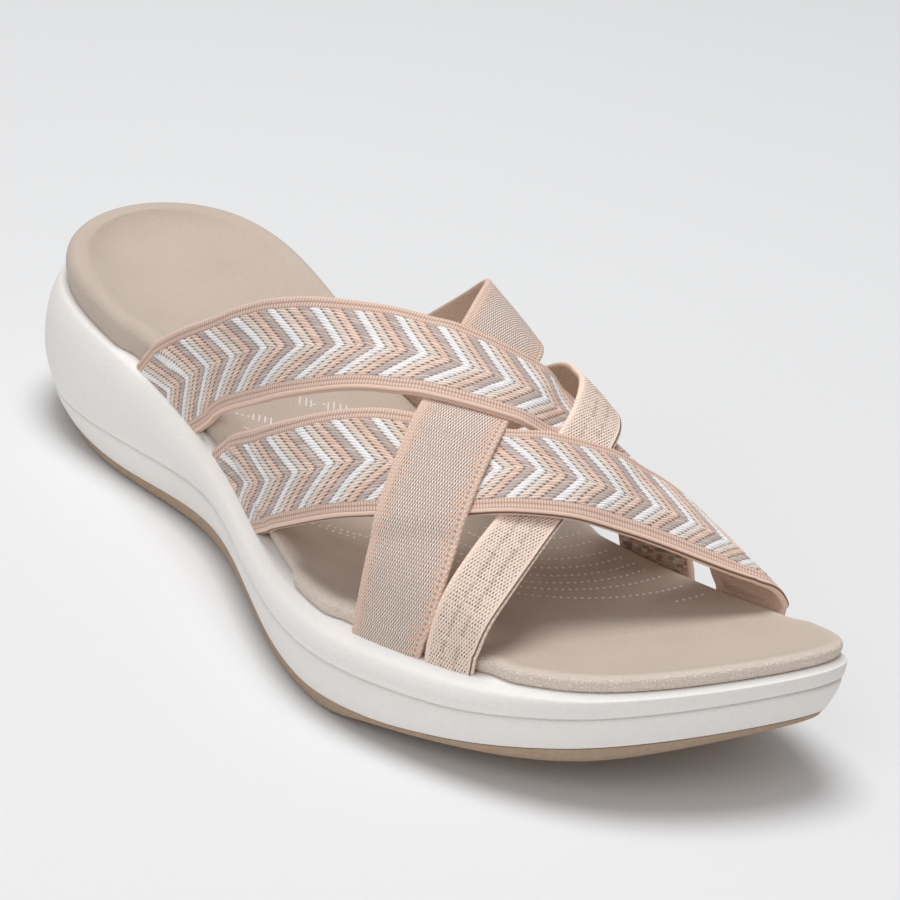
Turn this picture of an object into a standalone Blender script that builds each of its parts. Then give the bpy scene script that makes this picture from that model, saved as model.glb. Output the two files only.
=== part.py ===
"""Slip-on walking sandal for the right foot, with crossed elastic straps.

Millimetres from the back of the heel are used for every table: X runs to the toe, Y to the
wearer's left (the inner side of this foot), Z up from the base line of the last, which falls a
little from heel to ball. The last step levels that line, so that heel and ball stand on the floor,
turns millimetres into metres and puts the origin on the floor under the middle of the sandal.
"""

import math

import bpy
import numpy as np

MM = 0.001
PART_NAME = "crossed_strap_sandal"

# Driving dimensions
PITCH = math.radians(3.0)   # fall of the last's base line towards the toe
BALL_X = 163.0          # place on that line where it meets the floor
MIDDLE_X = 125.3        # middle of the levelled sandal's length
MIDDLE_Y = -9.6         # middle of its width
PIECE_GAP = 0.3         # clearance between two pieces that meet
STRAP_WALL = 1.8        # thickness of the elastic straps
STRAP_INSET = 3.4       # middle of a strap's end, in from the widest line of the midsole
FUSE_DEPTH = 0.4        # how far two straps sink into each other where they cross
CROSS_RAMP = 9.0        # length over which a strap climbs on to the one that it crosses
GROOVE_HALF = 0.6       # half the width of the line round the midsole
TUCK_DEPTH = 1.8        # how far the footbed's edge gives way to a strap's end
TUCK_MARGIN = 3.0       # clear length beside a strap's end
TUCK_RAMP = 7.0
UPRIGHT = 0.022         # share of a strap's way over the last that stands beside the footbed
LIFT_START = 0.2        # share of the way from which a strap's own lift counts in full
TOE_FALL = 1.2          # slope of the last in front of its table

# Mesh density
SOLE_ROWS_COUNT = 60    # rows from heel to toe in each layer of the sole
END_ROWS = 8            # rows over which the footbed's hollow runs out at heel and toe
STRAP_STEPS = 56        # along a strap
STRAP_COLUMNS = 5       # across a strap

# Widest line of the midsole from above: outer side from heel to toe, then back on the inner side
OUTLINE = (
    (0.0, 1.5), (12.3, -21.5), (43.0, -31.4), (87.9, -31.0), (128.8, -42.3), (171.2, -53.2),
    (207.4, -45.1), (241.5, -25.8), (257.5, 10.1), (251.6, 30.8), (223.8, 35.2), (181.8, 28.3),
    (130.4, 25.6), (85.0, 27.3), (38.7, 33.4), (8.7, 24.6),
)

# Heights of the sole along its length. "bottom" is the tread's clearance above the floor, "seam" the
# line between outsole and midsole, "groove" the line round the midsole, "edge" the midsole's top
# edge, "rise" the footbed's rim above that edge and "cup" the depth of its hollow below the rim.
SOLE_COLUMNS = ("x", "bottom", "seam", "groove", "edge", "rise", "cup")
SOLE_TABLE = (
    (0.0, 2.4, 13.0, 17.5, 43.5, 9.0, 3.0),
    (22.0, 0.0, 12.0, 16.6, 41.2, 8.4, 5.0),
    (62.0, 0.0, 8.5, 16.0, 34.2, 7.5, 4.6),
    (95.0, 0.8, 9.0, 16.2, 25.4, 7.5, 3.4),
    (128.0, 0.5, 6.6, 14.0, 21.8, 5.4, 2.0),
    (150.0, 0.0, 4.4, 13.0, 21.2, 4.5, 1.4),
    (172.0, 0.0, 3.4, 12.5, 20.9, 4.2, 1.1),
    (190.0, 3.0, 3.6, 12.4, 20.6, 4.0, 0.95),
    (205.0, 4.9, 4.8, 12.6, 20.4, 3.9, 0.8),
    (230.0, 8.5, 8.8, 15.9, 22.0, 3.8, 0.8),
    (258.0, 20.0, 16.1, 22.7, 27.3, 3.8, 0.5),
)

# Sides of the sole, from the bottom up. Each line lies a share of the way from one height to
# another, plus a step in millimetres, and stands out from the widest line by side, heel and toe.
RING_COLUMNS = ("low", "high", "share", "step", "side", "heel", "toe")
OUTSOLE_RINGS = (
    ("bottom", "seam", 0.0, 0.0, -3.6, -8.0, -9.0),
    ("bottom", "seam", 0.25, 0.0, -2.4, -5.8, -7.4),
    ("bottom", "seam", 0.6, 0.0, -2.0, -3.8, -6.7),
    ("bottom", "seam", 1.0, -PIECE_GAP, -2.0, -2.5, -6.2),
)
MIDSOLE_RINGS = (
    ("seam", "groove", 0.0, 0.0, -1.7, -2.0, -5.8),
    ("seam", "groove", 0.5, 0.0, -0.4, -0.6, -4.0),
    ("groove", "edge", 0.0, -GROOVE_HALF, -0.1, -0.2, -3.1),
    ("groove", "edge", 0.0, 0.0, -0.9, -1.0, -3.8),
    ("groove", "edge", 0.0, GROOVE_HALF, 0.1, 0.4, -2.8),
    ("groove", "edge", 0.34, 0.0, 0.9, 2.6, -2.5),
    ("groove", "edge", 0.72, 0.0, 0.2, 1.9, -2.3),
    ("groove", "edge", 1.0, -0.9, -1.2, -0.4, -2.7),
    ("groove", "edge", 1.0, 0.0, -2.4, -2.2, -3.7),
)
FOOTBED_RINGS = (
    ("edge", "rim", 0.0, PIECE_GAP, -3.4, -3.2, -4.2),
    ("edge", "rim", 0.45, 0.0, -2.9, -2.2, -3.5),
    ("edge", "rim", 0.8, 0.0, -3.1, -2.6, -3.7),
    ("edge", "rim", 1.0, 0.0, -4.6, -4.4, -5.2),
    ("edge", "rim", 1.0, -0.3, -7.0, -7.4, -7.4),
)
HEEL_END = (6.0, 55.0)      # the heel column holds before the first, the side column after the second
TOE_START = (205.0, 250.0)  # the toe column takes over between these
FOOTBED_SHARES = (0.0, 0.1, 0.24, 0.4, 0.5, 0.6, 0.76, 0.9, 1.0)

# The last over which the straps are drawn: crest height above the footbed's rim, where the crest
# lies (lean 1 is the middle, more leans inward) and how full the sides are (less is boxier).
# Below the rim the straps stand upright beside the footbed.
LAST_COLUMNS = ("x", "height", "lean", "fullness")
LAST_TABLE = (
    (60.0, 56.7, 1.14, 0.75),
    (80.0, 62.7, 1.11, 0.74),
    (110.0, 66.1, 1.07, 0.82),
    (150.0, 57.4, 1.05, 0.88),
    (190.0, 35.5, 0.96, 1.03),
    (205.0, 25.3, 0.96, 1.15),
    (222.0, 7.8, 0.96, 1.27),
)

# Straps: where their rear and front edges lie along the sandal at five even steps over the last,
# from the outer side to the inner side, how far each strap stands off the last at those steps, and
# which straps it passes over and under.
STRAPS = {
    "rear_chevron": {
        "rear": (59.8, 122.8, 163.8, 174.6, 178.9), "front": (86.3, 154.9, 187.0, 196.4, 200.0),
        "lift": (0.0, -0.2, -0.9, 0.5, 0.0), "over": ("broad_plain",), "under": ("narrow_plain",)},
    "front_chevron": {
        "rear": (94.1, 161.7, 188.8, 198.6, 207.0), "front": (131.3, 192.4, 209.7, 221.5, 225.0),
        "lift": (0.0, -0.2, -0.35, 3.0, 0.0), "over": ("narrow_plain",), "under": ("broad_plain",)},
    "broad_plain": {
        "rear": (182.3, 180.3, 164.8, 135.5, 77.3), "front": (200.1, 199.1, 184.5, 158.2, 98.3),
        "lift": (0.0, -0.2, -0.9, 0.5, 0.0), "over": ("front_chevron",), "under": ("rear_chevron",)},
    "narrow_plain": {
        "rear": (201.2, 202.0, 193.8, 166.9, 102.2), "front": (212.6, 212.3, 203.9, 181.0, 118.0),
        "lift": (0.0, 0.5, -0.65, 3.5, 0.0), "over": ("rear_chevron",), "under": ("front_chevron",)},
}

COLOURS = {
    "outsole": (0.42, 0.30, 0.22), "midsole": (0.86, 0.85, 0.82),
    "footbed": (0.58, 0.47, 0.38), "upper": (0.70, 0.48, 0.38),
}


def monotone(xs, ys, x):
    """Smooth curve through a column of a table that never overshoots its rows."""
    xs, ys, x = np.asarray(xs, float), np.asarray(ys, float), np.asarray(x, float)
    step = np.diff(xs)
    slope = np.diff(ys) / step
    tangent = np.empty_like(ys)
    tangent[0], tangent[-1] = slope[0], slope[-1]
    same_way = slope[:-1] * slope[1:] > 0
    wide, narrow = step[:-1] + 2 * step[1:], 2 * step[:-1] + step[1:]
    with np.errstate(divide="ignore", invalid="ignore"):
        mean = (wide + narrow) / (narrow / slope[:-1] + wide / slope[1:])
    tangent[1:-1] = np.where(same_way, mean, 0.0)
    x = np.clip(x, xs[0], xs[-1])
    row = np.clip(np.searchsorted(xs, x) - 1, 0, len(step) - 1)
    t = (x - xs[row]) / step[row]
    return ((2 * t**3 - 3 * t**2 + 1) * ys[row] + (t**3 - 2 * t**2 + t) * step[row] * tangent[row]
            + (3 * t**2 - 2 * t**3) * ys[row + 1] + (t**3 - t**2) * step[row] * tangent[row + 1])


def column(table, columns, name):
    return [row[columns.index(name)] for row in table]


def sole_height(name, x):
    """Height of one line of the sole at x; the rim is the footbed's rise above the edge."""
    if name == "rim":
        return sole_height("edge", x) + sole_height("rise", x)
    height = monotone(column(SOLE_TABLE, SOLE_COLUMNS, "x"), column(SOLE_TABLE, SOLE_COLUMNS, name), x)
    if name == "bottom":
        return height / math.cos(PITCH) - (x - BALL_X) * math.tan(PITCH)
    return height


def last_value(name, x):
    return monotone(column(LAST_TABLE, LAST_COLUMNS, "x"), column(LAST_TABLE, LAST_COLUMNS, name), x)


def smooth_step(low, high, value):
    t = np.clip((np.asarray(value, float) - low) / (high - low), 0.0, 1.0)
    return t * t * (3.0 - 2.0 * t)


def closed_curve(points, count):
    """Closed cubic spline through the points: its positions and its outward normals."""
    points = np.asarray(points, float)
    n = len(points)
    matrix = 4.0 * np.eye(n) + np.roll(np.eye(n), 1, axis=0) + np.roll(np.eye(n), -1, axis=0)
    ahead, behind = np.roll(points, -1, axis=0), np.roll(points, 1, axis=0)
    tangent = np.linalg.solve(matrix, 3.0 * (ahead - behind))
    at = np.linspace(0.0, n, count, endpoint=False)
    i = at.astype(int)
    t = (at - i)[:, None]
    a, b, ta, tb = points[i], points[(i + 1) % n], tangent[i], tangent[(i + 1) % n]
    place = ((2 * t**3 - 3 * t**2 + 1) * a + (t**3 - 2 * t**2 + t) * ta
             + (3 * t**2 - 2 * t**3) * b + (t**3 - t**2) * tb)
    along = np.gradient(np.vstack([place[-1:], place, place[:1]]), axis=0)[1:-1]
    normal = np.stack([along[:, 1], -along[:, 0]], axis=1)
    return place, normal / np.linalg.norm(normal, axis=1, keepdims=True)


def outline_rows():
    """Points of the widest line in rows: heel tip, outer side, toe tip, inner side back again."""
    place, normal = closed_curve(OUTLINE, 2400)
    heel, toe = int(place[:, 0].argmin()), int(place[:, 0].argmax())
    order = (heel + np.arange(2400)) % 2400
    turn = (toe - heel) % 2400
    outer, inner = order[:turn + 1], np.append(order[turn:], heel)[::-1]
    at = (1.0 - np.cos(np.pi * np.arange(SOLE_ROWS_COUNT + 1) / SOLE_ROWS_COUNT)) / 2.0
    wanted = place[heel, 0] + at * (place[toe, 0] - place[heel, 0])
    sides = []
    for side in (outer, inner):
        rising = np.maximum.accumulate(place[side, 0])
        picks = np.clip(np.searchsorted(rising, wanted), 0, len(side) - 1)
        picks[0], picks[-1] = 0, len(side) - 1
        sides.append(side[picks])
    picked = np.concatenate([sides[0], sides[1][-2:0:-1]])
    return place[picked], normal[picked]


def strap_ends(on_outer_side):
    """First and last x of each strap on one side, over its lowest stretch."""
    lowest = np.array((0.0, 2.0 * UPRIGHT) if on_outer_side else (1.0 - 2.0 * UPRIGHT, 1.0))
    edges = [np.append(strap_edge(strap["rear"], lowest), strap_edge(strap["front"], lowest))
             for strap in STRAPS.values()]
    return [(places.min(), places.max()) for places in edges]


def tuck(points, on_outer_side):
    """How far the footbed's edge moves in at x to leave room for the ends of the straps."""
    most = np.zeros(len(points))
    for start, stop in strap_ends(on_outer_side):
        before = smooth_step(start - TUCK_MARGIN - TUCK_RAMP, start - TUCK_MARGIN, points[:, 0])
        after = 1.0 - smooth_step(stop + TUCK_MARGIN, stop + TUCK_MARGIN + TUCK_RAMP, points[:, 0])
        most = np.maximum(most, before * after)
    return TUCK_DEPTH * most


def sole_ring(ring, tucked=False):
    """One closed line round the sole, as points in rows."""
    low, high, share, step, side, heel, toe = ring
    place, normal = outline_rows()
    at_heel = 1.0 - smooth_step(*HEEL_END, place[:, 0])
    at_toe = smooth_step(*TOE_START, place[:, 0])
    out = side + (heel - side) * at_heel + (toe - side) * at_toe
    if tucked:
        outer = np.arange(len(place)) <= SOLE_ROWS_COUNT
        out = out - np.where(outer, tuck(place, True), tuck(place, False))
    moved = place + normal * out[:, None]
    x = moved[:, 0]
    z = sole_height(low, x) * (1.0 - share) + sole_height(high, x) * share + step
    return np.column_stack([moved, z])


def rung_pairs():
    """For each row: the numbers of its point on the outer side and on the inner side."""
    total = 2 * SOLE_ROWS_COUNT
    return [(row, (total - row) % total) for row in range(SOLE_ROWS_COUNT + 1)]


def ladder(faces, start, upward):
    """Closes a ring with rungs from the outer to the inner side."""
    pairs = rung_pairs()
    for (a, b), (c, d) in zip(pairs, pairs[1:]):
        corners = [start + i for i in dict.fromkeys((a, c, d, b))]
        faces.append(corners if upward else corners[::-1])


def stack_rings(rings):
    """Points and side faces of rings that lie one above the other."""
    count = len(rings[0])
    points = np.vstack(rings)
    faces = []
    for level in range(len(rings) - 1):
        for i in range(count):
            j = (i + 1) % count
            low, high = level * count, (level + 1) * count
            faces.append([low + i, low + j, high + j, high + i])
    return points, faces


def level(points):
    """Turns points of the tables so that the sole's heel and ball lie on the floor."""
    x, y, z = np.asarray(points, float).T
    run, sine, cosine = x - BALL_X, math.sin(PITCH), math.cos(PITCH)
    return np.column_stack([BALL_X + run * cosine - z * sine, y, z * cosine + run * sine])


def new_piece(name, points, faces, collection):
    mesh = bpy.data.meshes.new(name)
    placed = (level(points) - (MIDDLE_X, MIDDLE_Y, 0.0)) * MM
    mesh.from_pydata([tuple(p) for p in placed], [], [list(map(int, f)) for f in faces])
    mesh.validate()
    piece = bpy.data.objects.new(name, mesh)
    collection.objects.link(piece)
    return piece


def make_layer(name, table, collection):
    """Outsole or midsole: stacked rings with a flat rung across bottom and top."""
    points, faces = stack_rings([sole_ring(ring) for ring in table])
    ladder(faces, 0, upward=False)
    ladder(faces, (len(table) - 1) * 2 * SOLE_ROWS_COUNT, upward=True)
    return new_piece(name, points, faces, collection)


def make_footbed(collection):
    """Footbed: a rolled rim round a hollow that is deepest under the heel."""
    rings = [sole_ring(ring, tucked=True) for ring in FOOTBED_RINGS]
    points, faces = stack_rings(rings)
    ladder(faces, 0, upward=False)
    rim, first = rings[-1], (len(rings) - 1) * 2 * SOLE_ROWS_COUNT
    points, grid = list(points), []
    for outer, inner in rung_pairs():
        row = [first + outer]
        if outer != inner:
            for share in FOOTBED_SHARES[1:-1]:
                spot = rim[outer] * (1.0 - share) + rim[inner] * share
                hollow = 1.0 - abs(2.0 * share - 1.0) ** 2.6
                end = smooth_step(0.0, END_ROWS, min(outer, SOLE_ROWS_COUNT - outer))
                spot[2] -= sole_height("cup", spot[0]) * hollow * end
                row.append(len(points))
                points.append(spot)
            row.append(first + inner)
        grid.append(row)
    for here, there in zip(grid, grid[1:]):
        if len(here) == 1 or len(there) == 1:
            fan, tip = (there, here[0]) if len(here) == 1 else (here, there[0])
            turn = 1 if len(here) == 1 else -1
            faces += [[tip, a, b][::turn] for a, b in zip(fan, fan[1:])]
        else:
            faces += [[here[i], there[i], there[i + 1], here[i + 1]] for i in range(len(here) - 1)]
    return new_piece("footbed", points, faces, collection)


def strap_edge(places, over):
    """Value at a share of the way over the last, on a smooth curve through five even places."""
    return np.polyval(np.polyfit(np.linspace(0.0, 1.0, len(places)), places, len(places) - 1), over)


def last_sides(x):
    """Y of the straps' foot line on the outer and on the inner side."""
    place, normal = closed_curve(OUTLINE, 1200)
    line = place - normal * STRAP_INSET
    heel, toe = int(line[:, 0].argmin()), int(line[:, 0].argmax())
    order = (heel + np.arange(1200)) % 1200
    turn = (toe - heel) % 1200
    outer, inner = line[order[:turn + 1]], line[order[turn:]][::-1]
    return (np.interp(x, np.maximum.accumulate(outer[:, 0]), outer[:, 1]),
            np.interp(x, np.maximum.accumulate(inner[:, 0]), inner[:, 1]))


def last_point(x, over):
    """Point of the last, x along the sandal and over from 0 at the outer to 1 at the inner foot."""
    outer, inner = last_sides(x)
    upright = np.clip(np.minimum(over, 1.0 - over) / UPRIGHT, 0.0, 1.0)
    turn = np.clip((over - UPRIGHT) / (1.0 - 2.0 * UPRIGHT), 0.0, 1.0)
    y = outer + (inner - outer) * (1.0 - np.cos(np.pi * turn)) / 2.0
    arch = np.clip(np.sin(np.pi * turn ** last_value("lean", x)), 0.0, 1.0) ** last_value("fullness", x)
    height = last_value("height", x) - TOE_FALL * np.maximum(x - LAST_TABLE[-1][0], 0.0)
    z = sole_height("edge", x) + PIECE_GAP + sole_height("rise", x) * upright + height * arch
    return np.stack([x, y, z], axis=-1)


def crossing_lift(strap, x, over):
    """Half steps of a strap's wall: up where it passes over another, down where it is under."""
    lift = np.zeros_like(x)
    for sign, others in ((1.0, strap["over"]), (-1.0, strap["under"])):
        for other in others:
            rear = strap_edge(STRAPS[other]["rear"], over)
            front = strap_edge(STRAPS[other]["front"], over)
            outside = np.maximum(np.maximum(rear - x, x - front), 0.0)
            lift += sign * (1.0 - smooth_step(0.0, CROSS_RAMP, outside))
    return lift * (STRAP_WALL - FUSE_DEPTH) / 2.0


def make_strap(name, collection):
    """One strap as a closed band of even wall, drawn over the last from edge to edge."""
    strap = STRAPS[name]
    over = np.linspace(0.0, 1.0, STRAP_STEPS + 1)[:, None] * np.ones((1, STRAP_COLUMNS))
    across = np.ones((STRAP_STEPS + 1, 1)) * np.linspace(0.0, 1.0, STRAP_COLUMNS)[None, :]
    x = strap_edge(strap["rear"], over) * (1.0 - across) + strap_edge(strap["front"], over) * across
    middle = last_point(x, over)
    normal = np.cross(np.gradient(middle, axis=1), np.gradient(middle, axis=0))
    normal /= np.linalg.norm(normal, axis=-1, keepdims=True)
    free = smooth_step(UPRIGHT, LIFT_START, np.minimum(over, 1.0 - over))
    lift = (crossing_lift(strap, x, over) + strap_edge(strap["lift"], over) * free)[..., None]
    skins = [middle + normal * (lift + half * STRAP_WALL / 2.0) for half in (1.0, -1.0)]
    for skin in skins:
        for end in (0, -1):
            skin[end, :, 2] = sole_height("edge", skin[end, :, 0]) + PIECE_GAP
    points = np.concatenate([skin.reshape(-1, 3) for skin in skins])
    number = np.arange(len(points)).reshape(2, STRAP_STEPS + 1, STRAP_COLUMNS)
    outer, inner = number
    faces = []
    for i in range(STRAP_STEPS):
        for j in range(STRAP_COLUMNS - 1):
            faces.append([outer[i, j], outer[i, j + 1], outer[i + 1, j + 1], outer[i + 1, j]])
            faces.append([inner[i, j], inner[i + 1, j], inner[i + 1, j + 1], inner[i, j + 1]])
        faces.append([outer[i, 0], outer[i + 1, 0], inner[i + 1, 0], inner[i, 0]])
        faces.append([outer[i, -1], inner[i, -1], inner[i + 1, -1], outer[i + 1, -1]])
    for j in range(STRAP_COLUMNS - 1):
        faces.append([outer[0, j], inner[0, j], inner[0, j + 1], outer[0, j + 1]])
        faces.append([outer[-1, j], outer[-1, j + 1], inner[-1, j + 1], inner[-1, j]])
    return new_piece(name, points, faces, collection)


def make_upper(parts, helpers):
    """The upper: the four straps joined where they cross."""
    upper = make_strap("rear_chevron", parts)
    upper.name = "upper"
    upper.data.name = "upper"
    for name in ("broad_plain", "narrow_plain", "front_chevron"):
        strap = make_strap(name, helpers)
        strap.hide_render = True
        strap.display_type = "WIRE"
        join = upper.modifiers.new("join_" + name, "BOOLEAN")
        join.operation = "UNION"
        join.solver = "EXACT"
        join.object = strap
    return upper


def give_material(piece, colour):
    material = bpy.data.materials.new(piece.name)
    material.use_nodes = True
    shader = material.node_tree.nodes["Principled BSDF"]
    shader.inputs["Base Color"].default_value = (*colour, 1.0)
    shader.inputs["Roughness"].default_value = 0.7
    piece.data.materials.append(material)


def main():
    for old in list(bpy.data.objects):
        bpy.data.objects.remove(old, do_unlink=True)
    parts = bpy.data.collections.new(PART_NAME)
    helpers = bpy.data.collections.new(PART_NAME + "_straps")
    for collection in (parts, helpers):
        bpy.context.scene.collection.children.link(collection)
    pieces = [
        make_layer("outsole", OUTSOLE_RINGS, parts),
        make_layer("midsole", MIDSOLE_RINGS, parts),
        make_footbed(parts),
        make_upper(parts, helpers),
    ]
    for piece in pieces:
        give_material(piece, COLOURS[piece.name])


main()
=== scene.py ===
# %% [markdown]
# # A slip-on sandal with crossed elastic straps
# The sandal is a foam sole with a moulded footbed, held on the foot by four bands of woven
# elastic. The CAD model already has every size. This lesson dresses it: smooth skins for the
# sole, real ribs in the woven straps, printed dots on the footbed, and a finish for each.

# %% Load the packed sandal
import math
from functools import partialmethod

import bpy
import numpy as np
from mathutils import Matrix, Vector


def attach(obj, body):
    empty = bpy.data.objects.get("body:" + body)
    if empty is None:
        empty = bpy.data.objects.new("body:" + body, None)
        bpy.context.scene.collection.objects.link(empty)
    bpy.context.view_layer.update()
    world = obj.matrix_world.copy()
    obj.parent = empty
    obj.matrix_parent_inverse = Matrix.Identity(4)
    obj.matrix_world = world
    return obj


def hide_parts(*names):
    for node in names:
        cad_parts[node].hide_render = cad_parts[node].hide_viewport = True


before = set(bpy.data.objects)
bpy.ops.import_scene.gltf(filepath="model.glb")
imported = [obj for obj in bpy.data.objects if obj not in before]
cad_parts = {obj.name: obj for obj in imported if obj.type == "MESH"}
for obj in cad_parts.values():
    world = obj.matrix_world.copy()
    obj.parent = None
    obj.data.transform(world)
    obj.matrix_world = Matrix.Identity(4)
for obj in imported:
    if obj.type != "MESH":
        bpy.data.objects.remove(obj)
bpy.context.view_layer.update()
MM = 0.001

# %% [markdown]
# ## The camera
# A product picture is taken from far away with a long lens, so the sandal hardly tapers with
# distance. The place and direction of the camera are given here as they were worked out from
# the sandal's own sizes. A camera looks along its own -Z, with X to the right and Y up, so the
# three directions are simply the columns of its matrix.

# %% Camera
EYE = Vector((751.7, -539.6, 454.4)) * MM
LOOK = Vector((-0.72862, 0.54595, -0.41359)).normalized()
RIGHT = Vector((0.56926, 0.81849, 0.07756)).normalized()
LENS, SENSOR, FARTHEST = 182.34, 36.0, 20.0


def new_object(name, data):
    """An object at the origin, put into the scene."""
    thing = bpy.data.objects.new(name, data)
    bpy.context.scene.collection.objects.link(thing)
    return thing


lens = bpy.data.cameras.new("long_lens")
lens.lens, lens.sensor_width, lens.clip_end = LENS, SENSOR, FARTHEST
camera = new_object("long_lens", lens)
up = RIGHT.cross(LOOK)
camera.matrix_world = Matrix.Translation(EYE) @ Matrix((RIGHT, up, -LOOK)).transposed().to_4x4()
bpy.context.scene.camera = camera
print("camera", round(EYE.length, 3), "m from the sandal's middle")

# %% [markdown]
# ## Node maths as Python
# A rib, a stitch or a fleck is a formula. Written as nodes it is a long chain of Math boxes, so
# a small class wraps a socket and lets Python's own operators add those boxes. The same class
# serves Geometry Nodes, where the formula moves the surface, and shaders, where it colours it.
# That is how the ribs and their colours stay in step.

# %% Wire and Bench
class Wire:
    """One socket of a node tree, for writing maths on it as Python."""

    def __init__(self, bench, socket):
        self.bench, self.socket = bench, socket

    def maths(self, operation, *others):
        sockets = dict(enumerate((self, *others)))
        return self.bench.add("ShaderNodeMath", {"operation": operation}, sockets)

    __add__ = __radd__ = partialmethod(maths, "ADD")
    __mul__ = __rmul__ = partialmethod(maths, "MULTIPLY")
    __sub__, __truediv__ = partialmethod(maths, "SUBTRACT"), partialmethod(maths, "DIVIDE")
    __pow__, __abs__ = partialmethod(maths, "POWER"), partialmethod(maths, "ABSOLUTE")
    __gt__, __lt__ = partialmethod(maths, "GREATER_THAN"), partialmethod(maths, "LESS_THAN")
    whole, part = partialmethod(maths, "FLOOR"), partialmethod(maths, "FRACT")
    least, most = partialmethod(maths, "MINIMUM"), partialmethod(maths, "MAXIMUM")

    def __rsub__(self, other):
        return self * -1.0 + other

    def __rtruediv__(self, other):
        return self ** -1.0 * other

    def ease(self, low, high):
        """0 below low, 1 above high, and a smooth step between."""
        return self.bench.add("ShaderNodeMapRange", {"interpolation_type": "SMOOTHSTEP"},
                              {"Value": self, "From Min": low, "From Max": high})

    def hump(self, middle, half):
        """A half-round ridge of height 1 about a middle, and 0 outside it."""
        return (1.0 - ((self - middle) / half) ** 2.0).most(0.0) ** 0.5


class Bench:
    """Adds nodes to one tree."""

    def __init__(self, tree):
        self.tree = tree

    def add(self, kind, settings=None, sockets=None, out=0):
        """Any node: its type, its settings, its socket values or links, and the output wanted."""
        node = self.tree.nodes.new(kind)
        for name, value in (settings or {}).items():
            if name == "stops":
                ramp = node.color_ramp
                ramp.interpolation = "CONSTANT"
                while len(ramp.elements) < len(value):
                    ramp.elements.new(0.5)
                for element, (place, colour) in zip(ramp.elements, value):
                    element.position, element.color = place, colour
            else:
                setattr(node, name, value)
        for name, value in (sockets or {}).items():
            self.feed(value, node.inputs[name])
        return Wire(self, node.outputs[out])

    def feed(self, value, socket):
        if isinstance(value, Wire):
            self.tree.links.new(value.socket, socket)
        else:
            socket.default_value = value

    def mix(self, factor, first, second, blend="MIX"):
        return self.add("ShaderNodeMix", {"data_type": "RGBA", "blend_type": blend},
                        {0: factor, 6: first, 7: second}, out=2)

    def shade(self, colour, amount):
        return self.mix(1.0, colour, amount, "MULTIPLY")

    def chance(self, *places):
        """A fixed random number for each cell that the whole numbers name."""
        cell = self.add("ShaderNodeCombineXYZ", {}, dict(enumerate(places)))
        return self.add("ShaderNodeTexWhiteNoise", {"noise_dimensions": "3D"}, {"Vector": cell})

    def place(self):
        return self.add("ShaderNodeTexCoord", out="Object")

    def noise(self, scale, detail=2.0):
        return self.add("ShaderNodeTexNoise", {},
                        {"Vector": self.place(), "Scale": scale, "Detail": detail})


print("operators ready:", sum(name.startswith("__") for name in vars(Wire)), "special methods")

# %% [markdown]
# ## The sole's own lines
# These are the same measures that the CAD uses, in millimetres from the back of the heel: X to
# the toe, Y to the inner side of the foot, Z up from the base line of the last, which falls a
# little from heel to ball. A skin that is made from the same lines, only with more points,
# follows the CAD solid to a fraction of a millimetre.

# %% Tables of the sole
PITCH, BALL_X = math.radians(3.0), 163.0    # fall of the base line, and where it is levelled about
MIDDLE_X, MIDDLE_Y = 125.3, -9.6            # middle of the CAD's box
PIECE_GAP = 0.3                             # room between two layers of the sole
GROOVE_HALF = 0.6                           # half the width of the line round the midsole
OUTLINE = (
    (0.0, 1.5), (12.3, -21.5), (43.0, -31.4), (87.9, -31.0), (128.8, -42.3), (171.2, -53.2),
    (207.4, -45.1), (241.5, -25.8), (257.5, 10.1), (251.6, 30.8), (223.8, 35.2), (181.8, 28.3),
    (130.4, 25.6), (85.0, 27.3), (38.7, 33.4), (8.7, 24.6),
)
SOLE_COLUMNS = ("x", "bottom", "seam", "groove", "edge", "rise", "cup")
SOLE_TABLE = np.array((
    (0.0, 2.4, 13.0, 17.5, 43.5, 9.0, 3.0),
    (22.0, 0.0, 12.0, 16.6, 41.2, 8.4, 5.0),
    (62.0, 0.0, 8.5, 16.0, 34.2, 7.5, 4.6),
    (95.0, 0.8, 9.0, 16.2, 25.4, 7.5, 3.4),
    (128.0, 0.5, 6.6, 14.0, 21.8, 5.4, 2.0),
    (150.0, 0.0, 4.4, 13.0, 21.2, 4.5, 1.4),
    (172.0, 0.0, 3.4, 12.5, 20.9, 4.2, 1.1),
    (190.0, 3.0, 3.6, 12.4, 20.6, 4.0, 0.95),
    (205.0, 4.9, 4.8, 12.6, 20.4, 3.9, 0.8),
    (230.0, 8.5, 8.8, 15.9, 22.0, 3.8, 0.8),
    (258.0, 20.0, 16.1, 22.7, 27.3, 3.8, 0.5),
))
# Each line of a side: between which heights, at what share, a step, and how far it stands out
# from the widest line at the sides, the heel and the toe.
OUTSOLE_RINGS = (
    ("bottom", "seam", 0.0, 0.0, -3.6, -8.0, -9.0),
    ("bottom", "seam", 0.25, 0.0, -2.4, -5.8, -7.4),
    ("bottom", "seam", 0.6, 0.0, -2.0, -3.8, -6.7),
    ("bottom", "seam", 1.0, -PIECE_GAP, -2.0, -2.5, -6.2),
)
MIDSOLE_RINGS = (
    ("seam", "groove", 0.0, 0.0, -1.7, -2.0, -5.8),
    ("seam", "groove", 0.5, 0.0, -0.4, -0.6, -4.0),
    ("groove", "edge", 0.0, -GROOVE_HALF, -0.1, -0.2, -3.1),
    ("groove", "edge", 0.0, 0.0, -0.9, -1.0, -3.8),
    ("groove", "edge", 0.0, GROOVE_HALF, 0.1, 0.4, -2.8),
    ("groove", "edge", 0.34, 0.0, 0.9, 2.6, -2.5),
    ("groove", "edge", 0.72, 0.0, 0.2, 1.9, -2.3),
    ("groove", "edge", 1.0, -0.9, -1.2, -0.4, -2.7),
    ("groove", "edge", 1.0, 0.0, -2.4, -2.2, -3.7),
)
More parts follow.
